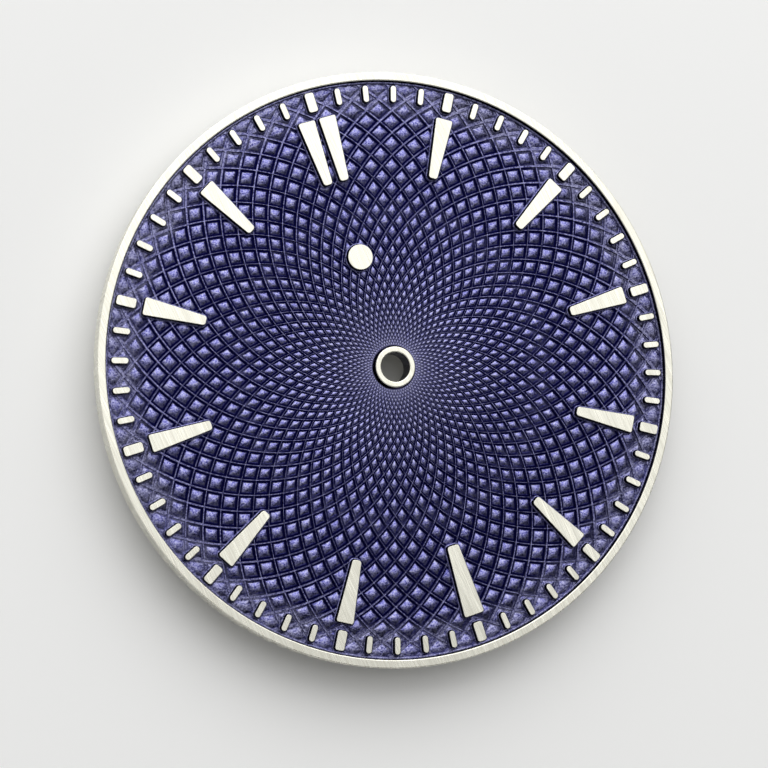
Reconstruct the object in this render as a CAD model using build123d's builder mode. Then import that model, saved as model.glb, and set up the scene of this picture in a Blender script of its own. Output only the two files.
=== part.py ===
"""Watch dial: a rimmed metal plate, a blue enamel field over a double spiral of
pyramids, applied hour and minute markers, a centre eyelet and two dial feet.

Millimetres. The origin is on the axis of the centre hole, in the plate's back face.
+Z points out of the dial towards the wearer and +Y points to 12 o'clock.
"""

import os
from math import cos, hypot, log, pi, sin

from build123d import *

os.makedirs("parts", exist_ok=True)

# Dial plate
dial_diameter = 33.0
dial_height = 1.3
floor_thickness = 0.5
rim_width = 0.46
rim_edge_break = 0.05
back_edge_break = 0.08

# Centre eyelet
bore_diameter = 1.65
eyelet_flange_width = 0.31
eyelet_tube_wall = 0.16
eyelet_edge_break = 0.05

# Enamel field
enamel_thickness = 0.3
moat_gap = 0.1
rim_moat_gap = 0.14
window_corner_cut = 0.12

# Pyramids of the field: two mirrored families of spiral valleys, cut from the rim inwards
spiral_count = 60
pattern_rings = 27
pattern_outer_cells = 5
pattern_phase_share = 0.083
spiral_log_share = 0.48
spiral_square_share = 0.485
facet_slope_share = 0.38

# Minute track
track_margin = 0.22
bar_length = 0.92
bar_width = 0.31
bar_corner = 0.1
block_length = 1.07
block_width = 0.52
block_corner = 0.1

# Hour batons: the one at 6 is longer and wider, and the one at 12 is a pair
baton_gap = 0.44
baton_corner = 0.14
baton_length = 3.45
baton_outer_width = 1.0
baton_inner_width = 0.49
six_length = 3.97
six_outer_width = 1.19
six_inner_width = 0.67
twin_length = 3.65
twin_outer_width = 0.98
twin_inner_width = 0.49
twin_outer_gap = 0.26
twin_inner_gap = 0.48

# Emblem: a plain disc below the twin batons
emblem_diameter = 1.4
emblem_gap = 4.31

# Feet of the batons and the emblem, through the plate, with few sides to keep facets few
marker_foot_diameter = 0.3
marker_foot_sides = 8
marker_foot_recess = 0.05
baton_feet_share = 0.5
emblem_feet_share = 0.5

# Dial feet, which locate the dial in the movement
dial_foot_diameter = 0.75
dial_foot_length = 1.5
dial_foot_circle = 24.0
dial_foot_head_diameter = 1.1
dial_foot_head_thickness = 0.2
dial_foot_edge_break = 0.08
dial_foot_angles = {"dial_foot_upper": 43, "dial_foot_lower": 228}

# Clearances
foot_clearance = 0.015
seat_clearance = 0.02

# Places that follow from the sizes
dial_radius = dial_diameter / 2
rim_inner_radius = dial_radius - rim_width
eyelet_bore_radius = bore_diameter / 2
eyelet_tube_radius = eyelet_bore_radius + eyelet_tube_wall
eyelet_flange_radius = eyelet_bore_radius + eyelet_flange_width
field_outer_radius = rim_inner_radius - rim_moat_gap
field_inner_radius = eyelet_flange_radius + moat_gap
field_level = floor_thickness + enamel_thickness
marker_height = dial_height - floor_thickness
marker_foot_radius = marker_foot_diameter / 2
dial_foot_radius = dial_foot_diameter / 2
dial_foot_head_radius = dial_foot_head_diameter / 2
track_outer_radius = rim_inner_radius - track_margin
block_radius = track_outer_radius - block_length / 2
baton_outer_radius = track_outer_radius - block_length - baton_gap
emblem_radius = baton_outer_radius - twin_length - emblem_gap
hour_step = 360 / 12
minute_step = 360 / 60


def dial_location(clock_angle, radius):
    """A place on the dial, with local +Y pointing outwards, at degrees past 12 o'clock."""
    turn = clock_angle * pi / 180
    return Location((radius * sin(turn), radius * cos(turn), 0), (0, 0, -clock_angle))


def save(piece, name):
    """Label a finished piece and write it to its own file."""
    piece.label = name
    export_step(piece, f"parts/{name}.step")


def tapered(length, inner_left, inner_right, outer_left, outer_right):
    """A baton seen from above, from its inner end up to its outer end at the origin."""
    with BuildSketch() as shape:
        with BuildLine():
            Polyline(
                (inner_left, -length),
                (inner_right, -length),
                (outer_right, 0),
                (outer_left, 0),
                close=True,
            )
        make_face()
    return shape.sketch


def single(length, inner_width, outer_width):
    """A baton with its middle on the origin's radius."""
    inner = inner_width / 2
    outer = outer_width / 2
    return tapered(length, -inner, inner, -outer, outer)


def rectangle(width, length):
    """A straight piece seen from above, with its length along local Y."""
    with BuildSketch() as shape:
        Rectangle(width, length)
    return shape.sketch


def cut_corners(shape, corner):
    """The outline of a small piece: the shape with its corners cut."""
    with BuildSketch() as outline:
        add(shape)
        chamfer(outline.vertices(), corner)
    return outline.sketch


def window(shape):
    """The opening in the enamel around a piece: wider all round, with its corners cut."""
    with BuildSketch() as opening:
        add(shape)
        offset(amount=moat_gap, kind=Kind.INTERSECTION)
    return cut_corners(opening.sketch, window_corner_cut)


def feet_at(length, inner_x=0, outer_x=0):
    """Two foot places between the inner and the outer end of a baton."""
    shares = [(1 - baton_feet_share) / 2, (1 + baton_feet_share) / 2]
    return [(outer_x + (inner_x - outer_x) * share, -length * share) for share in shares]


# Shapes of the applied pieces, seen from above
baton = single(baton_length, baton_inner_width, baton_outer_width)
six = single(six_length, six_inner_width, six_outer_width)
twin_inner_side = twin_inner_gap / 2
twin_outer_side = twin_outer_gap / 2
twin_right = tapered(
    twin_length,
    twin_inner_side,
    twin_inner_side + twin_inner_width,
    twin_outer_side,
    twin_outer_side + twin_outer_width,
)
twin_left = mirror(twin_right, Plane.YZ)
bar = rectangle(bar_width, bar_length)
block = rectangle(block_width, block_length)
with BuildSketch() as emblem_sketch:
    Circle(emblem_diameter / 2)
with BuildSketch() as emblem_window_sketch:
    Circle(emblem_diameter / 2 + moat_gap)

# Where the feet are in each piece's own frame
baton_feet = feet_at(baton_length)
six_feet = feet_at(six_length)
twin_right_feet = feet_at(
    twin_length,
    twin_inner_side + twin_inner_width / 2,
    twin_outer_side + twin_outer_width / 2,
)
twin_left_feet = [(-x, y) for x, y in twin_right_feet]
emblem_foot_x = emblem_diameter * emblem_feet_share / 2
emblem_feet = [(-emblem_foot_x, 0), (emblem_foot_x, 0)]


def hour_baton(clock_angle, shape, feet):
    """A baton: its place, its outline, the window around it and its feet."""
    with BuildSketch() as outline:
        add(shape)
        fillet(outline.vertices(), baton_corner)
    return dial_location(clock_angle, baton_outer_radius), outline.sketch, window(shape), feet


markers = {}
for hour in range(1, 12):
    shape, feet = (six, six_feet) if hour == 6 else (baton, baton_feet)
    markers[f"hour_baton_{hour:02}"] = hour_baton(hour * hour_step, shape, feet)
markers["hour_baton_12_left"] = hour_baton(0, twin_left, twin_left_feet)
markers["hour_baton_12_right"] = hour_baton(0, twin_right, twin_right_feet)
markers["emblem_disc"] = (
    dial_location(0, emblem_radius),
    emblem_sketch.sketch,
    emblem_window_sketch.sketch,
    emblem_feet,
)

# Dial plate: a dish with a flat lapped rim, holes for the feet and sockets in its back
with BuildPart() as dial_plate:
    with BuildSketch(Plane.XZ):
        with BuildLine():
            Polyline(
                (0, 0),
                (dial_radius - back_edge_break, 0),
                (dial_radius, back_edge_break),
                (dial_radius, dial_height - rim_edge_break),
                (dial_radius - rim_edge_break, dial_height),
                (rim_inner_radius + rim_edge_break, dial_height),
                (rim_inner_radius, dial_height - rim_edge_break),
                (rim_inner_radius, floor_thickness),
                (0, floor_thickness),
                close=True,
            )
        make_face()
    revolve(axis=Axis.Z)
    with BuildSketch(Plane.XY):
        Circle(eyelet_tube_radius + seat_clearance)
        for place, outline, opening, feet in markers.values():
            with Locations(place):
                with Locations(*feet):
                    RegularPolygon(marker_foot_radius + foot_clearance, marker_foot_sides)
    extrude(amount=floor_thickness, mode=Mode.SUBTRACT)
    with BuildSketch(Plane.XY):
        for clock_angle in dial_foot_angles.values():
            with Locations(dial_location(clock_angle, dial_foot_circle / 2)):
                Circle(dial_foot_head_radius + seat_clearance)
    extrude(amount=dial_foot_head_thickness, mode=Mode.SUBTRACT)
save(dial_plate.part, "dial_plate")


def spiral_turn(radius):
    """The angle that a spiral valley has swept on its way out to a radius."""
    share = radius / dial_radius
    return spiral_log_share * log(share) + spiral_square_share * share**2


def ring_radius(turn):
    """The radius at which the spirals have swept an angle, found by halving."""
    low = field_inner_radius / pattern_rings
    high = dial_diameter
    while high - low > dial_radius * 1e-9:
        middle = (low + high) / 2
        if spiral_turn(middle) < turn:
            low = middle
        else:
            high = middle
    return low


# Rings of crossings, half a cell apart, from just outside the field inwards
half_cell = pi / spiral_count
outer_turn = (pattern_outer_cells - pattern_phase_share) * 2 * half_cell
ring_radii = [ring_radius(outer_turn - i * half_cell) for i in range(pattern_rings + 1)]


def crossing(i, k, height=field_level):
    """The k-th crossing of the valleys on ring i, counted in half cells."""
    turn = k * half_cell
    return Vector(ring_radii[i] * sin(turn), ring_radii[i] * cos(turn), height)


def pyramid(i, k):
    """The four facets on the cell whose middle lies on ring i, at half cell k."""
    outer = crossing(i - 1, k)
    inner = crossing(i + 1, k)
    right = crossing(i, k + 1)
    left = crossing(i, k - 1)
    across = (right - left).length
    along = (outer - inner).length
    half_width = across * along / hypot(across, along) / 2
    tip = crossing(i, k, field_level + facet_slope_share * half_width)
    corners = [outer, left, inner, right, outer]
    return [Face(Wire.make_polygon([tip, *pair])) for pair in zip(corners, corners[1:])]


def zigzag(i, j, height=field_level):
    """The closed saw-toothed line that runs through the crossings of two rings."""
    points = []
    for k in range(i % 2, 2 * spiral_count + i % 2, 2):
        points += [crossing(i, k, height), crossing(j, k + 1, height)]
    return points


# Relief: a slab with the pyramids on top, wider than the field, closed by flat faces
top_faces = []
for i in range(1, pattern_rings):
    for k in range((i + 1) % 2, 2 * spiral_count, 2):
        top_faces += pyramid(i, k)
middle_face = Face(Wire.make_polygon(zigzag(pattern_rings, pattern_rings - 1)))
top_edge = zigzag(0, 1)
bottom_edge = zigzag(0, 1, floor_thickness)
bottom_face = Face(Wire.make_polygon(bottom_edge))
side_faces = []
for i in range(len(top_edge)):
    corners = [top_edge[i - 1], top_edge[i], bottom_edge[i], bottom_edge[i - 1]]
    side_faces.append(Face(Wire.make_polygon(corners)))
relief = Solid(Shell([*top_faces, middle_face, bottom_face, *side_faces]))

# Enamel field: the relief trimmed to the recess, with a window around each marker
with BuildPart() as enamel_field:
    with BuildSketch(Plane.XY.offset(floor_thickness)):
        Circle(field_outer_radius)
        Circle(field_inner_radius, mode=Mode.SUBTRACT)
        for place, outline, opening, feet in markers.values():
            with Locations(place):
                add(opening, mode=Mode.SUBTRACT)
        for minute in range(60):
            with Locations(dial_location(minute * minute_step, block_radius)):
                add(window(bar if minute % 5 else block), mode=Mode.SUBTRACT)
    extrude(amount=marker_height)
    add(relief, mode=Mode.INTERSECT)
save(enamel_field.part, "enamel_field")

# Centre eyelet: a flanged bush, flush with the rim above and the plate below
with BuildPart() as centre_eyelet:
    with BuildSketch(Plane.XZ):
        with BuildLine():
            Polyline(
                (eyelet_bore_radius, 0),
                (eyelet_tube_radius, 0),
                (eyelet_tube_radius, floor_thickness),
                (eyelet_flange_radius, floor_thickness),
                (eyelet_flange_radius, dial_height - eyelet_edge_break),
                (eyelet_flange_radius - eyelet_edge_break, dial_height),
                (eyelet_bore_radius + eyelet_edge_break, dial_height),
                (eyelet_bore_radius, dial_height - eyelet_edge_break),
                close=True,
            )
        make_face()
    revolve(axis=Axis.Z)
save(centre_eyelet.part, "centre_eyelet")

# Hour batons and emblem, each standing on the floor with its feet through it
for name, (place, outline, opening, feet) in markers.items():
    with BuildPart() as applied:
        with BuildSketch(Plane(place).offset(floor_thickness)):
            add(outline)
        extrude(amount=marker_height)
        with BuildSketch(Plane(place).offset(floor_thickness)):
            with Locations(*feet):
                RegularPolygon(marker_foot_radius, marker_foot_sides)
        extrude(amount=marker_foot_recess - floor_thickness)
    save(applied.part, name)

# Hour blocks, which stand on the floor
for hour in range(1, 13):
    place = dial_location(hour * hour_step, block_radius)
    with BuildPart() as hour_block:
        with BuildSketch(Plane(place).offset(floor_thickness)):
            add(cut_corners(block, block_corner))
        extrude(amount=marker_height)
    save(hour_block.part, f"hour_block_{hour:02}")

# Minute bars, four to each gap between the hours
for first in range(1, 60, 5):
    with BuildPart() as minute_bars:
        for minute in range(first, first + 4):
            place = dial_location(minute * minute_step, block_radius)
            with BuildSketch(Plane(place).offset(floor_thickness)):
                add(cut_corners(bar, bar_corner))
        extrude(amount=marker_height)
    save(minute_bars.part, f"minute_bars_{first:02}_to_{first + 3:02}")

# Dial feet: round pins, each with a head let into the back of the plate
for name, clock_angle in dial_foot_angles.items():
    foot_plane = Plane(dial_location(clock_angle, dial_foot_circle / 2))
    with BuildPart() as dial_foot:
        with BuildSketch(foot_plane):
            Circle(dial_foot_head_radius)
        extrude(amount=dial_foot_head_thickness)
        with BuildSketch(foot_plane):
            Circle(dial_foot_radius)
        extrude(amount=-dial_foot_length)
        chamfer(dial_foot.edges().sort_by(Axis.Z)[0], dial_foot_edge_break)
    save(dial_foot.part, name)
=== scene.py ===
"""Looks of the watch dial: blue enamel over an engraved ground, lapped silvery markers and rim.

Shapes are worked out in millimetres, in the frame's own axes, and scaled to metres when a
mesh is made. +Z points to the wearer and +Y to 12 o'clock.
"""

from math import atan2, cos, hypot, log, pi, radians, sin, tan

import bmesh
import bpy
import numpy as np
from mathutils import Matrix, Vector


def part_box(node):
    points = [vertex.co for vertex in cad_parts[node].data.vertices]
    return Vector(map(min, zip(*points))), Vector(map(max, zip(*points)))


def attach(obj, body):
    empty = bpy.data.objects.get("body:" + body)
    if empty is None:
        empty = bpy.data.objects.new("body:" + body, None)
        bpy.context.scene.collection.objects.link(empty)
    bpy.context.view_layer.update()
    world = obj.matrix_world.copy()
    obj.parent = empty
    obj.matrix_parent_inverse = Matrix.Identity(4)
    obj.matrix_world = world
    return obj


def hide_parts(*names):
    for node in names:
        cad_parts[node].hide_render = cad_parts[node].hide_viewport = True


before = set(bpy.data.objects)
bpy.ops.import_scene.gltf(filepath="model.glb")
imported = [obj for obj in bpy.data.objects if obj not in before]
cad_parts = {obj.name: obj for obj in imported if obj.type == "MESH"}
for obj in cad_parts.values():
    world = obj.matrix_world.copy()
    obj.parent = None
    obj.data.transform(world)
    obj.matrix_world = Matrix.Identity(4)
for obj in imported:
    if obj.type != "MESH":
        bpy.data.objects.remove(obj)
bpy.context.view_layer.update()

MM = 0.001


def span(node):
    """The lowest and highest corner of a CAD node, in millimetres."""
    low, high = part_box(node)
    return low / MM, high / MM


# Sizes of the dial, read from the frame
_, plate_high = span("dial_plate")
enamel_low, enamel_high = span("enamel_field")
_, eyelet_high = span("centre_eyelet")
baton_low, baton_high = span("hour_baton_03")
six_low, six_high = span("hour_baton_06")
twin_low, twin_high = span("hour_baton_12_right")
block_low, block_high = span("hour_block_06")
emblem_low, emblem_high = span("emblem_disc")
foot_low, _ = span("dial_foot_upper")
dial_radius = plate_high.x
dial_height = plate_high.z
floor_level = enamel_low.z
field_outer_radius = enamel_high.x
baton_outer_radius = baton_high.x
baton_length = baton_high.x - baton_low.x
baton_outer_width = baton_high.y - baton_low.y
six_length = six_high.y - six_low.y
six_outer_width = six_high.x - six_low.x
twin_length = twin_high.y - twin_low.y
block_radius = -(block_low.y + block_high.y) / 2
block_length = block_high.y - block_low.y
block_width = block_high.x - block_low.x
emblem_radius = (emblem_high.x - emblem_low.x) / 2
emblem_place = (emblem_high.y + emblem_low.y) / 2
eyelet_flange_radius = eyelet_high.x

dial_feet = ("dial_foot_upper", "dial_foot_lower")

# Sizes that the frame's boxes do not show
rim_width = 0.46
rim_round = 0.05
back_round = 0.08
bore_radius = 0.825
eyelet_tube_wall = 0.16
baton_inner_width = 0.49
six_inner_width = 0.67
twin_outer_width = 0.98
twin_inner_width = 0.49
twin_outer_gap = 0.26
twin_inner_gap = 0.48
bar_length = 0.92
bar_width = 0.31
bar_corner_share = 0.49
baton_corner = 0.11
baton_inner_corner = 0.16
block_corner = 0.13
marker_round = 0.015
marker_foot_radius = 0.15
marker_foot_recess = 0.05
marker_foot_shares = (0.25, 0.75)
dial_foot_radius = 0.375
dial_foot_head_thickness = 0.2
dial_foot_chamfer = 0.08
field_gap = 0.1
seat_clearance = 0.02
foot_clearance = 0.015
hole_bottom = -1.0
rim_inner_radius = dial_radius - rim_width
hub_radius = bore_radius + eyelet_tube_wall

# Levels and widths of the engraved ground
land_level = 0.98
groove_level = 0.86
tip_level = 0.97
land_widths = (0.031, 0.016)
land_widths_outer = (0.13, 0.08)
groove_wall = 0.025
groove_width = 0.085
full_depth_cell = 0.75
full_depth_radius = 8.9
shoulder_inset_share = 0.32
shoulder_rise_share = 0.58
shoulder_from_width = 0.3

# Changes of the ground on the way out; a start and a reach are shares of the dial's radius
centre_land_share = 0.3
growth_start = 0.1
growth_slope = 1.7
widening_start = 0.7
widening_reach = 0.25
track_start = 0.87
track_reach = 0.06
track_depth_share = 0.75

# Collars of enamel around the markers and inside the rim, and the border of the ground
collar_width = 0.055
collar_level = 1.05
collar_round = 0.05
collar_gap = 0.06
field_reach = 0.09
collar_overrun = 0.02
ground_skirt = 0.05
moat_bottom = 0.2

# Steps of round shapes
rim_steps = 360
eyelet_steps = 128
circle_steps = 64
foot_steps = 24

# Hours and minutes: degrees from each to the next, and bars from hour to hour
hour_angle = 30
minute_angle = 6
bars_per_gap = 4

# The double spiral: shares of the frame's own pattern
spiral_count = 60
spiral_log_share = 0.48
spiral_square_share = 0.485
pattern_outer_cells = 5
pattern_phase_share = 0.083
pattern_rings = 41
sample_count = 1200
halving_count = 50


def spiral_turn(radius):
    """The angle that a spiral has swept on its way out to a radius."""
    share = radius / dial_radius
    return spiral_log_share * log(share) + spiral_square_share * share**2


def spiral_radius(turn):
    """The radius at which the spirals have swept an angle, found by halving."""
    low, high = dial_radius / 1000, dial_radius * 2
    for _ in range(halving_count):
        middle = (low + high) / 2
        if spiral_turn(middle) < turn:
            low = middle
        else:
            high = middle
    return low


def dial_matrix(clock_angle, radius):
    """Local +Y points outwards at degrees past 12 o'clock, in millimetres."""
    turn = radians(clock_angle)
    place = Matrix.Translation((radius * sin(turn), radius * cos(turn), 0))
    return place @ Matrix.Rotation(-turn, 4, "Z")


# Meshes: turns in degrees up to which edges are shaded smooth, between slopes and at level faces
machined_limits = (14, 14)
engraved_limits = (40, 3)
level_normal_z = 0.9995


def shade(mesh, slope_limit, level_limit):
    """Smooth shading, with edges left sharp that turn by more degrees than their limit.

    An edge of a level face that looks up has the level limit, and any other the slope limit.
    """
    bm = bmesh.new()
    bm.from_mesh(mesh)
    bm.normal_update()
    for face in bm.faces:
        face.smooth = True
    for edge in bm.edges:
        sloped = all(face.normal.z < level_normal_z for face in edge.link_faces)
        limit = slope_limit if sloped else level_limit
        edge.smooth = edge.calc_face_angle(pi) < radians(limit)
    bm.to_mesh(mesh)
    bm.free()


def make_object(name, verts, faces):
    """A mesh object from points in millimetres."""
    mesh = bpy.data.meshes.new(name)
    mesh.from_pydata([Vector(v) * MM for v in verts], [], faces)
    mesh.validate()
    obj = bpy.data.objects.new(name, mesh)
    bpy.context.scene.collection.objects.link(obj)
    return obj


def finish_piece(obj, material, slot, *nodes, limits=machined_limits):
    """Material, shading and body of a piece; the CAD nodes that it stands for are hidden."""
    obj.data.materials.clear()
    obj.data.materials.append(material)
    shade(obj.data, *limits)
    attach(obj, "root")
    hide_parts(*nodes)


def turned_points(profile, steps, place=(0, 0)):
    """The points of a profile of (radius, height) at every step around an upright axis."""
    verts = []
    for step in range(steps):
        turn = 2 * pi * step / steps
        for radius, height in profile:
            verts.append((place[0] + radius * cos(turn), place[1] + radius * sin(turn), height))
    return verts


def lathe(profile, steps):
    """Points and faces of a closed profile turned about the dial's axis."""
    faces = []
    count = len(profile)
    for step in range(steps):
        a, b = step * count, (step + 1) % steps * count
        for i in range(count):
            j = (i + 1) % count
            faces.append((a + i, b + i, b + j, a + j))
    return turned_points(profile, steps), faces


def turned_pin(profile, steps, place):
    """Points and faces of an open profile, top to bottom, turned and closed at both ends."""
    faces = []
    count = len(profile)
    for step in range(steps):
        a, b = step * count, (step + 1) % steps * count
        for i in range(count - 1):
            faces.append((a + i, a + i + 1, b + i + 1, b + i))
    faces.append(tuple(step * count for step in range(steps)))
    faces.append(tuple((steps - 1 - step) * count + count - 1 for step in range(steps)))
    return turned_points(profile, steps, place), faces


def round_corner(centre_r, centre_z, radius, start, end, steps=3):
    """Points of a rounded edge of a turned profile, from a start to an end angle in degrees."""
    points = []
    for i in range(steps + 1):
        turn = radians(start + (end - start) * i / steps)
        points.append((centre_r + radius * cos(turn), centre_z + radius * sin(turn)))
    return points


def rounded_outline(corners, rounds, steps=8):
    """An outline, anticlockwise, whose corners are arcs of the given radii."""
    points = []
    count = len(corners)
    for i in range(count):
        here = Vector(corners[i])
        before = (Vector(corners[i - 1]) - here).normalized()
        after = (Vector(corners[(i + 1) % count]) - here).normalized()
        half = before.angle(after) / 2
        radius = rounds[i]
        centre = here + (before + after).normalized() * radius / sin(half)
        first = here + before * radius / tan(half) - centre
        last = here + after * radius / tan(half) - centre
        start = atan2(first.y, first.x)
        sweep = (atan2(last.y, last.x) - start) % (2 * pi)
        for k in range(steps + 1):
            turn = start + sweep * k / steps
            points.append((centre.x + radius * cos(turn), centre.y + radius * sin(turn)))
    return points


def grown(outline, distance):
    """An anticlockwise outline moved outwards by a distance."""
    points = []
    count = len(outline)
    for i in range(count):
        here = Vector(outline[i])
        before = here - Vector(outline[i - 1])
        after = Vector(outline[(i + 1) % count]) - here
        normals = [Vector((d.y, -d.x)).normalized() for d in (before, after)]
        middle = (normals[0] + normals[1]).normalized()
        points.append(tuple(here + middle * distance / middle.dot(normals[0])))
    return points


def circle_outline(radius, steps=circle_steps):
    """A circle, anticlockwise."""
    return [(radius * cos(2 * pi * i / steps), radius * sin(2 * pi * i / steps)) for i in range(steps)]


def prism(outline, low, high, place, edge_round=0.0, edge_steps=3):
    """Points and faces of an upright prism, with a rounded upper edge if edge_round is given."""
    levels = [(0.0, low)]
    if edge_round:
        for i in range(edge_steps + 1):
            turn = pi / 2 * i / edge_steps
            levels.append((edge_round * (1 - cos(turn)), high - edge_round * (1 - sin(turn))))
    else:
        levels.append((0.0, high))
    verts, faces = [], []
    count = len(outline)
    for inset, height in levels:
        for x, y in grown(outline, -inset) if inset else outline:
            verts.append(tuple(place @ Vector((x, y, height))))
    for level in range(len(levels) - 1):
        for i in range(count):
            j = (i + 1) % count
            a, b = level * count, (level + 1) * count
            faces.append((a + i, a + j, b + j, b + i))
    faces.append(tuple(reversed(range(count))))
    faces.append(tuple((len(levels) - 1) * count + i for i in range(count)))
    return verts, faces


def joined(*shells):
    """Several shells' points and faces as one list of each."""
    verts, faces = [], []
    for shell_verts, shell_faces in shells:
        start = len(verts)
        verts += shell_verts
        faces += [tuple(start + i for i in face) for face in shell_faces]
    return verts, faces


def carve(obj, operation, shells, name):
    """A boolean of an object with closed shells, applied at once."""
    tool = make_object(name, *joined(*shells))
    modifier = obj.modifiers.new(name, "BOOLEAN")
    modifier.operation = operation
    modifier.solver = "MANIFOLD"
    modifier.object = tool
    depsgraph = bpy.context.evaluated_depsgraph_get()
    mesh = bpy.data.meshes.new_from_object(obj.evaluated_get(depsgraph))
    obj.modifiers.remove(modifier)
    obj.data = mesh
    bpy.data.objects.remove(tool)


# Outlines of the applied pieces


def tapered(length, inner_left, inner_right, outer_left, outer_right):
    """A baton, from its inner end up to its outer end at the origin."""
    corners = [(inner_left, -length), (inner_right, -length), (outer_right, 0), (outer_left, 0)]
    rounds = [baton_inner_corner, baton_inner_corner, baton_corner, baton_corner]
    return rounded_outline(corners, rounds)


def single(length, inner_width, outer_width):
    """A baton with its middle on the origin's radius."""
    inner, outer = inner_width / 2, outer_width / 2
    return tapered(length, -inner, inner, -outer, outer)


def feet_at(length, inner_x=0, outer_x=0):
    """Two foot places between the inner and the outer end of a baton."""
    return [
        (outer_x + (inner_x - outer_x) * share, -length * share) for share in marker_foot_shares
    ]


def box_outline(width, length, corner):
    """A straight piece with rounded corners."""
    x, y = width / 2, length / 2
    return rounded_outline([(-x, -y), (x, -y), (x, y), (-x, y)], [corner] * 4)


baton = single(baton_length, baton_inner_width, baton_outer_width)
six = single(six_length, six_inner_width, six_outer_width)
inner_side, outer_side = twin_inner_gap / 2, twin_outer_gap / 2
twin_right = tapered(
    twin_length, inner_side, inner_side + twin_inner_width, outer_side, outer_side + twin_outer_width
)
twin_left = [(-x, y) for x, y in reversed(twin_right)]
block = box_outline(block_width, block_length, block_corner)
bar = box_outline(bar_width, bar_length, bar_width * bar_corner_share)
emblem = circle_outline(emblem_radius)
right_feet = feet_at(twin_length, inner_side + twin_inner_width / 2, outer_side + twin_outer_width / 2)
left_feet = [(-x, y) for x, y in right_feet]
emblem_feet = [(-emblem_radius / 2, 0), (emblem_radius / 2, 0)]

# Node name, place, outline and feet of each applied piece
applied = []
for hour in range(1, 12):
    place = dial_matrix(hour * hour_angle, baton_outer_radius)
    if hour == 6:
        applied.append(("hour_baton_06", place, six, feet_at(six_length)))
    else:
        applied.append((f"hour_baton_{hour:02}", place, baton, feet_at(baton_length)))
applied.append(("hour_baton_12_left", dial_matrix(0, baton_outer_radius), twin_left, left_feet))
applied.append(("hour_baton_12_right", dial_matrix(0, baton_outer_radius), twin_right, right_feet))
for hour in range(1, 13):
    applied.append((f"hour_block_{hour:02}", dial_matrix(hour * hour_angle, block_radius), block, []))
applied.append(("emblem_disc", dial_matrix(0, emblem_place), emblem, emblem_feet))

# Windows of the enamel, as places and outlines
windows = [(place, outline) for _, place, outline, _ in applied]
for minute in range(60):
    if minute % (bars_per_gap + 1):
        windows.append((dial_matrix(minute * minute_angle, block_radius), bar))


# Materials, with their bands, levels and reliefs in millimetres
wall_band = 0.03
floor_band = 0.01
bore_band = 0.02
back_full_level = 0.02
back_end_level = 0.06
land_band = 0.003
track_start_radius = 14.0
track_full_radius = 14.9
centre_radius = 1.5
calm_end_radius = 6.0
pale_end_radius = 7.0
stroke_depth = 0.003
grit_depth = 0.018
draw_depth = 0.004


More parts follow.
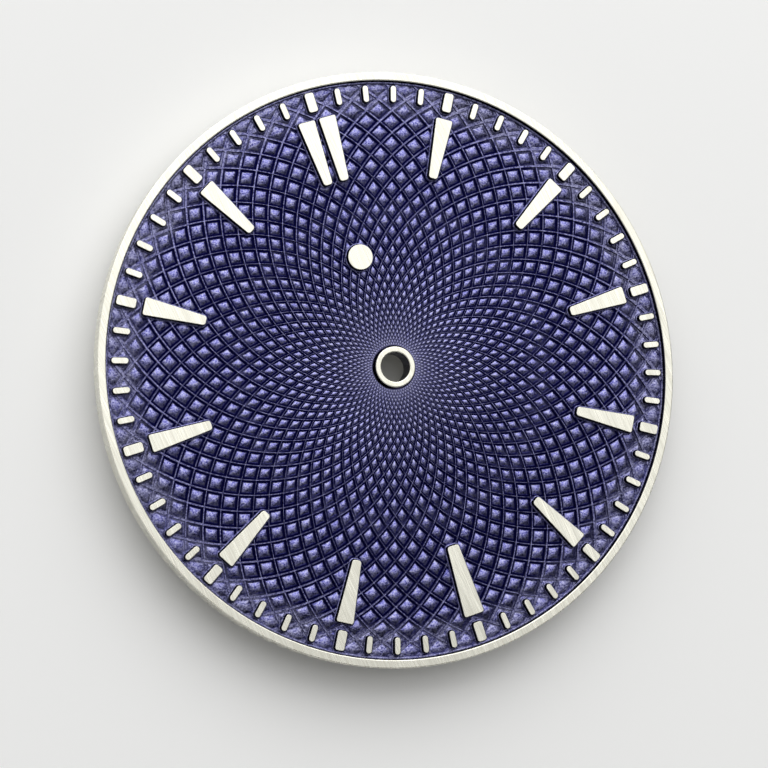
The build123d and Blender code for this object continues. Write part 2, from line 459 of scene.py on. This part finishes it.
class Nodes:
    """A material's node tree with short names for what is used here."""

    def __init__(self, name):
        self.material = bpy.data.materials.new(name)
        self.material.use_nodes = True
        self.tree = self.material.node_tree
        self.tree.nodes.clear()
        self.shader = self.add("ShaderNodeBsdfPrincipled")
        output = self.add("ShaderNodeOutputMaterial")
        self.link(self.shader.outputs[0], output.inputs[0])
        self.place = self.add("ShaderNodeTexCoord").outputs["Object"]

    def add(self, kind, **values):
        node = self.tree.nodes.new(kind)
        for key, value in values.items():
            setattr(node, key, value)
        return node

    def link(self, source, target):
        self.tree.links.new(source, target)

    def axes(self):
        """The object coordinates, each by its own name."""
        node = self.add("ShaderNodeSeparateXYZ")
        self.link(self.place, node.inputs[0])
        return node.outputs

    def mapped(self, turn, scale):
        """Object coordinates turned about Z by degrees, then scaled."""
        rotate = self.add("ShaderNodeMapping")
        rotate.inputs["Rotation"].default_value = (0, 0, radians(turn))
        self.link(self.place, rotate.inputs["Vector"])
        stretch = self.add("ShaderNodeMapping")
        stretch.inputs["Scale"].default_value = scale
        self.link(rotate.outputs[0], stretch.inputs["Vector"])
        return stretch.outputs[0]

    def noise(self, vector, scale, detail=2.0, roughness=0.5):
        """Grain between 0 and 1, finer with a larger scale."""
        node = self.add("ShaderNodeTexNoise")
        node.inputs["Scale"].default_value = scale
        node.inputs["Detail"].default_value = detail
        node.inputs["Roughness"].default_value = roughness
        self.link(vector, node.inputs["Vector"])
        return node.outputs["Fac"]

    def ramp(self, source, *stops):
        """A colour ramp of (position, colour) stops."""
        node = self.add("ShaderNodeValToRGB")
        elements = node.color_ramp.elements
        while len(elements) < len(stops):
            elements.new(0.5)
        for element, (position, colour) in zip(elements, stops):
            element.position = position
            element.color = (*colour, 1)
        self.link(source, node.inputs["Fac"])
        return node.outputs["Color"]

    def spread(self, source, low, high, to_low, to_high):
        """A value between low and high, taken to between to_low and to_high and held there."""
        node = self.add("ShaderNodeMapRange")
        keys = ("From Min", "From Max", "To Min", "To Max")
        for key, value in zip(keys, (low, high, to_low, to_high)):
            node.inputs[key].default_value = value
        self.link(source, node.inputs["Value"])
        return node.outputs["Result"]

    def math(self, operation, *values):
        """A sum, product or comparison of numbers and sockets."""
        node = self.add("ShaderNodeMath", operation=operation)
        for value, socket in zip(values, node.inputs):
            if isinstance(value, (int, float)):
                socket.default_value = value
            else:
                self.link(value, socket)
        return node.outputs[0]

    def mix(self, share, a, b, blend="MIX"):
        """Colour a turned towards colour b by a share."""
        node = self.add("ShaderNodeMix", data_type="RGBA", blend_type=blend)
        sockets = (node.inputs[0], node.inputs[6], node.inputs[7])
        for value, socket in zip((share, a, b), sockets):
            if isinstance(value, (int, float)):
                socket.default_value = value
            elif isinstance(value, tuple):
                socket.default_value = (*value, 1)
            else:
                self.link(value, socket)
        return node.outputs[2]

    def bump(self, height, strength, depth):
        """Fine relief of a depth in millimetres, laid on the shader."""
        node = self.add("ShaderNodeBump")
        node.inputs["Strength"].default_value = strength
        node.inputs["Distance"].default_value = depth * MM
        self.link(height, node.inputs["Height"])
        self.link(node.outputs[0], self.shader.inputs["Normal"])

    def set(self, **values):
        """Plain values on the shader's own sockets."""
        for key, value in values.items():
            self.shader.inputs[key.replace("_", " ")].default_value = value


def darker(colour, share):
    """A colour with every part scaled alike."""
    return tuple(part * share for part in colour)


def silver_material():
    """Silvery metal, lapped with straight strokes on top, its walls darkened by enamel stain and
    painted shade.
    """
    silver_colour = (0.88, 0.87, 0.77)
    stroke_colour = (0.84, 0.83, 0.81)
    wall_stain_and_shade_colour = (0.02, 0.018, 0.05)
    brush_angle = -7
    m = Nodes("lapped_silver")
    m.set(Metallic=1.0)
    fine = m.noise(m.mapped(brush_angle, (16000, 500, 500)), 1.0, detail=3.0, roughness=0.6)
    broad = m.noise(m.mapped(brush_angle, (3500, 160, 160)), 1.0)
    cloud = m.noise(m.place, 260.0)
    clouded = m.spread(cloud, 0.35, 0.7, 0.0, 1.0)
    worn = m.mix(clouded, silver_colour, darker(silver_colour, 0.93))
    strokes = m.mix(m.spread(fine, 0.38, 0.62, 0.0, 1.0), (1.0, 1.0, 1.0), stroke_colour)
    lapped = m.mix(1.0, worn, strokes, "MULTIPLY")

    # Walls in the enamel and the bore, by distance to the axis; painted shade on both, enamel stain on
    # the walls
    axes = m.axes()
    squares = [m.math("POWER", axes[key], 2.0) for key in ("X", "Y")]
    reach = m.math("SQRT", m.math("ADD", *squares))
    inside = m.math("LESS_THAN", reach, (rim_inner_radius + wall_band) * MM)
    outside = m.math("GREATER_THAN", reach, (eyelet_flange_radius - wall_band) * MM)
    above = m.math("GREATER_THAN", axes["Z"], (floor_level - floor_band) * MM)
    below = m.math("LESS_THAN", axes["Z"], (dial_height - wall_band) * MM)
    walls = m.math("MULTIPLY", m.math("MULTIPLY", inside, outside), above)
    bore = m.math("LESS_THAN", reach, (bore_radius + bore_band) * MM)
    stain_and_shade = m.math("MULTIPLY", m.math("MAXIMUM", walls, bore), below)
    # Painted shade, with enamel stain on the walls, darkens the walls and the bore
    front = m.mix(stain_and_shade, lapped, wall_stain_and_shade_colour)

    # Fine turned rings on the back
    rings = m.add("ShaderNodeTexNoise", noise_dimensions="1D")
    rings.inputs["Scale"].default_value = 22000.0
    rings.inputs["Detail"].default_value = 3.0
    m.link(reach, rings.inputs["W"])
    ringed = m.spread(rings.outputs["Fac"], 0.35, 0.65, 0.0, 1.0)
    turned = m.mix(ringed, silver_colour, darker(silver_colour, 0.7))
    back = m.spread(axes["Z"], back_full_level * MM, back_end_level * MM, 1.0, 0.0)
    m.link(m.mix(back, front, turned), m.shader.inputs["Base Color"])
    m.link(m.spread(broad, 0.3, 0.7, 0.21, 0.33), m.shader.inputs["Roughness"])
    m.bump(m.math("ADD", fine, broad), 0.3, stroke_depth)
    return m.material


def enamel_material():
    """Translucent blue enamel: sparkling facets, dull lands, grooves dark from deep enamel and painted
    shade.
    """
    deep_enamel_and_shade_colour = (0.002, 0.002, 0.028)
    m = Nodes("blue_enamel")
    m.set(Metallic=1.0)
    height = m.axes()["Z"]
    length = m.add("ShaderNodeVectorMath", operation="LENGTH")
    m.link(m.place, length.inputs[0])
    reach = length.outputs["Value"]

    # Where a point lies between the groove, the facet and the land
    full_depth = (land_level - groove_level) * MM
    depth = m.spread(reach, 0.0, full_depth_radius * MM, 0.0, full_depth)
    sink = m.math("DIVIDE", m.math("SUBTRACT", land_level * MM, height), depth)
    risen = m.spread(sink, 1.0, 0.7, 0.0, 1.0)
    low, high = (tip_level + land_band) * MM, (land_level - land_band) * MM
    land = m.spread(height, low, high, 0.0, 1.0)
    track = m.spread(reach, track_start_radius * MM, track_full_radius * MM, 0.0, 1.0)

    # Grain, calmer and paler towards the centre
    grain = m.noise(m.place, 9500.0, detail=3.0, roughness=0.75)
    patch = m.noise(m.place, 3500.0)
    blotch = m.noise(m.place, 600.0)
    fine_speckle = m.spread(grain, 0.36, 0.64, -0.1, 1.0)
    rough_speckle = m.math("ADD", fine_speckle, m.spread(patch, 0.35, 0.65, -0.1, 0.15))
    calm = m.spread(reach, centre_radius * MM, calm_end_radius * MM, 0.35, 1.0)
    swing = m.math("MULTIPLY", m.math("SUBTRACT", rough_speckle, 0.5), calm)
    speckle = m.math("ADD", swing, 0.5)
    near = m.spread(reach, centre_radius * MM, pale_end_radius * MM, 0.3, 0.0)

    facet = m.ramp(
        m.math("ADD", speckle, near),
        (0.0, (0.045, 0.045, 0.17)),
        (0.35, (0.155, 0.155, 0.38)),
        (0.65, (0.23, 0.23, 0.43)),
        (1.0, (0.33, 0.33, 0.48)),
    )
    # Darker down towards the grooves: partly deeper enamel, partly painted shade
    sunk = m.mix(risen, deep_enamel_and_shade_colour, facet)
    dull = m.ramp(speckle, (0.0, (0.035, 0.035, 0.13)), (1.0, (0.29, 0.29, 0.51)))
    landed = m.mix(land, sunk, dull)
    melted = m.ramp(speckle, (0.0, (0.03, 0.03, 0.08)), (1.0, (0.3, 0.3, 0.46)))
    melting = m.math("MULTIPLY", track, m.spread(blotch, 0.4, 0.65, 0.2, 0.9))
    m.link(m.mix(melting, landed, melted), m.shader.inputs["Base Color"])
    m.link(m.spread(grain, 0.3, 0.7, 0.24, 0.38), m.shader.inputs["Roughness"])
    m.bump(m.math("MULTIPLY", m.math("ADD", grain, patch), calm), 1.0, grit_depth)
    return m.material


def foot_material():
    """Bare drawn copper wire, dulled by handling."""
    m = Nodes("drawn_copper")
    m.set(Metallic=1.0)
    draw = m.noise(m.mapped(0, (9000, 9000, 300)), 1.0, detail=3.0, roughness=0.6)
    cloud = m.noise(m.place, 1500.0)
    tone = m.mix(m.spread(draw, 0.35, 0.65, 0.0, 1.0), (0.78, 0.5, 0.36), (0.6, 0.37, 0.25))
    handled = m.mix(m.spread(cloud, 0.5, 0.7, 0.0, 0.5), tone, (0.4, 0.24, 0.16))
    m.link(handled, m.shader.inputs["Base Color"])
    m.link(m.spread(cloud, 0.3, 0.7, 0.32, 0.48), m.shader.inputs["Roughness"])
    m.bump(draw, 0.3, draw_depth)
    return m.material


copper = foot_material()
silver = silver_material()
enamel = enamel_material()


# Dial plate: a dish with rounded edges, holes for the marker feet and sockets in the back
plate_profile = [(hub_radius + seat_clearance, 0.0)]
plate_profile += round_corner(dial_radius - back_round, back_round, back_round, -90, 0)
plate_profile += round_corner(dial_radius - rim_round, dial_height - rim_round, rim_round, 0, 90)
plate_profile += round_corner(
    rim_inner_radius + rim_round, dial_height - rim_round, rim_round, 90, 180
)
plate_profile += [(rim_inner_radius, floor_level), (hub_radius + seat_clearance, floor_level)]
plate = make_object("dial_plate_finished", *lathe(plate_profile, rim_steps))
holes = []
for _, place, _, feet in applied:
    for x, y in feet:
        hole = circle_outline(marker_foot_radius + foot_clearance, foot_steps)
        hole_place = place @ Matrix.Translation((x, y, 0))
        holes.append(prism(hole, hole_bottom, dial_height, hole_place))
for node in dial_feet:
    low, high = span(node)
    socket = circle_outline((high.x - low.x) / 2 + seat_clearance)
    socket_place = Matrix.Translation(((low.x + high.x) / 2, (low.y + high.y) / 2, 0))
    holes.append(prism(socket, hole_bottom, dial_foot_head_thickness, socket_place))
carve(plate, "DIFFERENCE", holes, "holes")
finish_piece(plate, silver, "plate", "dial_plate")

# Centre eyelet
eyelet_profile = [(bore_radius, 0.0), (hub_radius, 0.0)]
eyelet_profile += [(hub_radius, floor_level), (eyelet_flange_radius, floor_level)]
eyelet_profile += round_corner(
    eyelet_flange_radius - rim_round, dial_height - rim_round, rim_round, 0, 90
)
eyelet_profile += round_corner(bore_radius + rim_round, dial_height - rim_round, rim_round, 90, 180)
eyelet = make_object("centre_eyelet_finished", *lathe(eyelet_profile, eyelet_steps))
finish_piece(eyelet, silver, "eyelet", "centre_eyelet")

# Applied pieces
for node, place, outline, feet in applied:
    shells = [prism(outline, floor_level, dial_height, place, marker_round)]
    for x, y in feet:
        foot = circle_outline(marker_foot_radius, foot_steps)
        foot_place = place @ Matrix.Translation((x, y, 0))
        shells.append(prism(foot, marker_foot_recess, floor_level, foot_place))
    piece = make_object(node + "_finished", *joined(*shells))
    finish_piece(piece, silver, "marker", node)

for first in range(1, 60, bars_per_gap + 1):
    shells = []
    last = first + bars_per_gap - 1
    for minute in range(first, last + 1):
        place = dial_matrix(minute * minute_angle, block_radius)
        shells.append(prism(bar, floor_level, dial_height, place, marker_round))
    node = f"minute_bars_{first:02}_to_{last:02}"
    piece = make_object(node + "_finished", *joined(*shells))
    finish_piece(piece, silver, "marker", node)

# Dial feet
for node in dial_feet:
    low, high = span(node)
    centre = ((low.x + high.x) / 2, (low.y + high.y) / 2)
    head_radius = (high.x - low.x) / 2
    profile = [
        (head_radius, dial_foot_head_thickness),
        (head_radius, 0.0),
        (dial_foot_radius, 0.0),
        (dial_foot_radius, low.z + dial_foot_chamfer),
        (dial_foot_radius - dial_foot_chamfer, low.z),
    ]
    piece = make_object(node + "_finished", *turned_pin(profile, circle_steps, centre))
    finish_piece(piece, copper, "foot", node)


# Engraved ground: every cell between four spirals holds a pyramid in a sunk pocket
half_cell = pi / spiral_count
outer_turn = (pattern_outer_cells - pattern_phase_share) * 2 * half_cell
inner_turn = outer_turn - (pattern_rings + 2) * half_cell
turn_samples = np.linspace(outer_turn, inner_turn, sample_count)
radius_samples = np.array([spiral_radius(turn) for turn in turn_samples])


def ring_radius(inward):
    """The radius at half cells inwards from the outermost crossings."""
    return float(np.interp(-(outer_turn - inward * half_cell), -turn_samples, radius_samples))


def field_point(right, left, height):
    """The point at lattice coordinates, in half cells past 12 o'clock and inwards."""
    radius = ring_radius((right + left) / 2)
    turn = (right - left) / 2 * half_cell
    return (radius * sin(turn), radius * cos(turn), height)


def cell_width(radius):
    """The distance between two neighbouring spirals at a radius."""
    share = radius / dial_radius
    steepness = spiral_log_share + 2 * spiral_square_share * share**2
    return 2 * half_cell * radius / hypot(1, steepness)


def eased(value, start, reach):
    """0 up to a start, and from there evenly up to 1."""
    return min(max((value - start) / reach, 0.0), 1.0)


# Corners and edge middles of a cell, anticlockwise, as shares of its half width
cell_ring = [(-1, -1), (0, -1), (1, -1), (1, 0), (1, 1), (0, 1), (-1, 1), (-1, 0)]


def cell_steps(ring):
    """The outlines of a cell from its border inwards, as insets to both sides and heights."""
    radius = ring_radius(ring)
    width, share = cell_width(radius), radius / dial_radius
    growth = growth_slope * max(share - growth_start, 0.0)
    thinning = min(centre_land_share + growth, 1.0)
    widening = eased(share, widening_start, widening_reach)
    lands = [
        (inner + (outer - inner) * widening) * thinning / width
        for inner, outer in zip(land_widths, land_widths_outer)
    ]
    in_track = eased(share, track_start, track_reach)
    scale = min(1.0, width / full_depth_cell) * (1 + (track_depth_share - 1) * in_track)
    wall, groove = 2 * groove_wall * scale / width, 2 * groove_width * scale / width
    bottom = land_level - (land_level - groove_level) * scale
    foot = wall + groove
    steps = [((0.0, 0.0), land_level), (lands, land_level)]
    insets = [(wall, bottom), (foot, bottom)]
    if width > shoulder_from_width:
        shoulder = foot + shoulder_inset_share * (1 - foot - lands[0])
        insets.append((shoulder, bottom + shoulder_rise_share * (tip_level - bottom)))
    steps += [([land + inset for land in lands], height) for inset, height in insets]
    return steps


def engraved_ground():
    """Points and faces of the upper side of the ground."""
    verts, faces, known = [], [], {}
    corner_count = len(cell_ring)

    def add(right, left, height):
        """The index of a point, which neighbouring cells share."""
        wrapped = (right - left) % (4 * spiral_count)
        key = tuple(round(value, 5) for value in (wrapped, right + left, height))
        if key not in known:
            known[key] = len(verts)
            verts.append(field_point(right, left, height))
        return known[key]

    for ring in range(1, pattern_rings):
        steps = cell_steps(ring)
        for k in range((ring + 1) % 2, 2 * spiral_count, 2):
            right, left = ring + k, ring - k
            outlines = []
            for (inset_right, inset_left), height in steps:
                outlines.append([
                    add(right + a * (1 - inset_right), left + b * (1 - inset_left), height)
                    for a, b in cell_ring
                ])
            tip = add(right, left, tip_level)
            sides = [(i, (i + 1) % corner_count) for i in range(corner_count)]
            for outer, inner in zip(outlines, outlines[1:]):
                faces += [(outer[i], outer[j], inner[j], inner[i]) for i, j in sides]
            faces += [(outlines[-1][i], outlines[-1][j], tip) for i, j in sides]
    return verts, faces


def close_ground(obj):
    """Walls down from the open edges and a flat face between their two rings."""
    bm = bmesh.new()
    bm.from_mesh(obj.data)
    bmesh.ops.recalc_face_normals(bm, faces=bm.faces)
    open_edges = [edge for edge in bm.edges if len(edge.link_faces) == 1]
    made = bmesh.ops.extrude_edge_only(bm, edges=open_edges)
    for vert in made["geom"]:
        if isinstance(vert, bmesh.types.BMVert):
            vert.co.z = (floor_level - ground_skirt) * MM
    low_edges = [edge for edge in bm.edges if len(edge.link_faces) == 1]
    outer = [e for e in low_edges if e.verts[0].co.length > field_outer_radius / 2 * MM]
    inner = [e for e in low_edges if e not in outer]
    bmesh.ops.bridge_loops(bm, edges=outer + inner)
    bmesh.ops.triangulate(bm, faces=[f for f in bm.faces if len(f.verts) > 4])
    bmesh.ops.recalc_face_normals(bm, faces=bm.faces)
    bm.to_mesh(obj.data)
    bm.free()


ground = make_object("enamel_field_finished", *engraved_ground())
close_ground(ground)

# Border of the field, collars around the markers and a lip inside the rim, with a gap to each
edge = field_outer_radius + field_reach
field_inner_radius = eyelet_flange_radius + field_gap
annulus_profile = [
    (field_inner_radius, floor_level),
    (edge, floor_level),
    (edge, dial_height),
    (field_inner_radius, dial_height),
]
collar_bottom = floor_level - collar_overrun
collars, moats = [], []
for place, outline in windows:
    collar = grown(outline, collar_gap + collar_width)
    collars.append(prism(collar, collar_bottom, collar_level, place, collar_round))
    moats.append(prism(grown(outline, collar_gap), moat_bottom, dial_height, place))
lip_inner = edge - collar_width
lip_profile = [(edge, collar_bottom), (edge, collar_level)]
lip_profile += round_corner(lip_inner, collar_level - collar_round, collar_round, 90, 180)
lip_profile += [(lip_inner - collar_round, collar_bottom)]
carve(ground, "INTERSECT", [lathe(annulus_profile, rim_steps)], "annulus")
carve(ground, "UNION", collars, "collars")
carve(ground, "UNION", [lathe(lip_profile, rim_steps)], "lip")
carve(ground, "DIFFERENCE", moats, "moats")
finish_piece(ground, enamel, "enamel", "enamel_field", limits=engraved_limits)


# Floor
floor_material = Nodes("pale_floor")
floor_material.set(Base_Color=(0.92, 0.92, 0.91, 1), Roughness=0.9)
floor_reach = 400.0
corners = [(-1, -1), (1, -1), (1, 1), (-1, 1)]
floor_verts = [(x * floor_reach, y * floor_reach, foot_low.z) for x, y in corners]
floor_piece = make_object("floor", floor_verts, [(0, 1, 2, 3)])
floor_piece.data.materials.append(floor_material.material)


# Lights
lamp_distance = 400.0


def softbox(name, direction, size, radiance):
    """A square area lamp that looks at the dial, given by the brightness that it shows."""
    lamp = bpy.data.lights.new(name, "AREA")
    lamp.shape = "SQUARE"
    lamp.size = size * MM
    lamp.energy = radiance * pi * (size * MM) ** 2
    obj = bpy.data.objects.new(name, lamp)
    away = Vector(direction).normalized()
    obj.location = away * lamp_distance * MM
    obj.rotation_mode = "QUATERNION"
    obj.rotation_quaternion = away.to_track_quat("Z", "Y")
    bpy.context.scene.collection.objects.link(obj)


softbox("softbox_top", (0.3, 0.47, 0.83), size=520.0, radiance=1.0)
softbox("softbox_far", (0.2, 0.85, 0.48), size=640.0, radiance=1.2)


def studio_world():
    """A pale room, dark above the horizon on the side that the pyramids' lower facets reflect."""
    dark_side = (0.35, -0.94, 0.0)
    world = bpy.data.worlds.new("studio")
    world.use_nodes = True
    tree = world.node_tree

    def grey_ramp(source, *stops):
        """A ramp between two greys."""
        node = tree.nodes.new("ShaderNodeValToRGB")
        for element, (position, grey) in zip(node.color_ramp.elements, stops):
            element.position = position
            element.color = (grey, grey, grey, 1)
        tree.links.new(source, node.inputs["Fac"])
        return node.outputs["Color"]

    direction = tree.nodes.new("ShaderNodeTexCoord").outputs["Generated"]
    toward_dark = tree.nodes.new("ShaderNodeVectorMath")
    toward_dark.operation = "DOT_PRODUCT"
    toward_dark.inputs[1].default_value = dark_side
    tree.links.new(direction, toward_dark.inputs[0])
    elevation = tree.nodes.new("ShaderNodeSeparateXYZ")
    tree.links.new(direction, elevation.inputs[0])
    lighter = tree.nodes.new("ShaderNodeMix")
    lighter.data_type = "RGBA"
    lighter.blend_type = "LIGHTEN"
    lighter.inputs[0].default_value = 1.0
    sides = grey_ramp(toward_dark.outputs["Value"], (0.1, 0.45), (0.4, 0.03))
    horizon = grey_ramp(elevation.outputs["Z"], (0.15, 0.9), (0.45, 0.0))
    tree.links.new(sides, lighter.inputs[6])
    tree.links.new(horizon, lighter.inputs[7])
    tree.links.new(lighter.outputs[2], tree.nodes["Background"].inputs["Color"])
    return world


bpy.context.scene.world = studio_world()
bpy.context.scene.view_settings.view_transform = "Standard"

# Camera, fitted to the middles of the markers
camera_place = Vector((-37.19, -1.48, 119.8))
camera_back = Vector((-0.2925, -0.0062, 0.9563)).normalized()
camera_up = Vector((0.2890, 0.9526, 0.0946))
camera_right = camera_up.cross(camera_back).normalized()
camera_up = camera_back.cross(camera_right)
focal_pixels = 2255.2
image_pixels = 768
sensor_width = 36.0
camera_data = bpy.data.cameras.new("camera")
camera_data.sensor_width = sensor_width
camera_data.lens = focal_pixels / image_pixels * sensor_width
camera_data.clip_start = 0.005
camera_data.clip_end = 10.0
camera = bpy.data.objects.new("camera", camera_data)
camera.matrix_world = Matrix.Translation(camera_place * MM) @ Matrix(
    (camera_right, camera_up, camera_back)
).transposed().to_4x4()
bpy.context.scene.collection.objects.link(camera)
bpy.context.scene.camera = camera

bpy.context.view_layer.update()
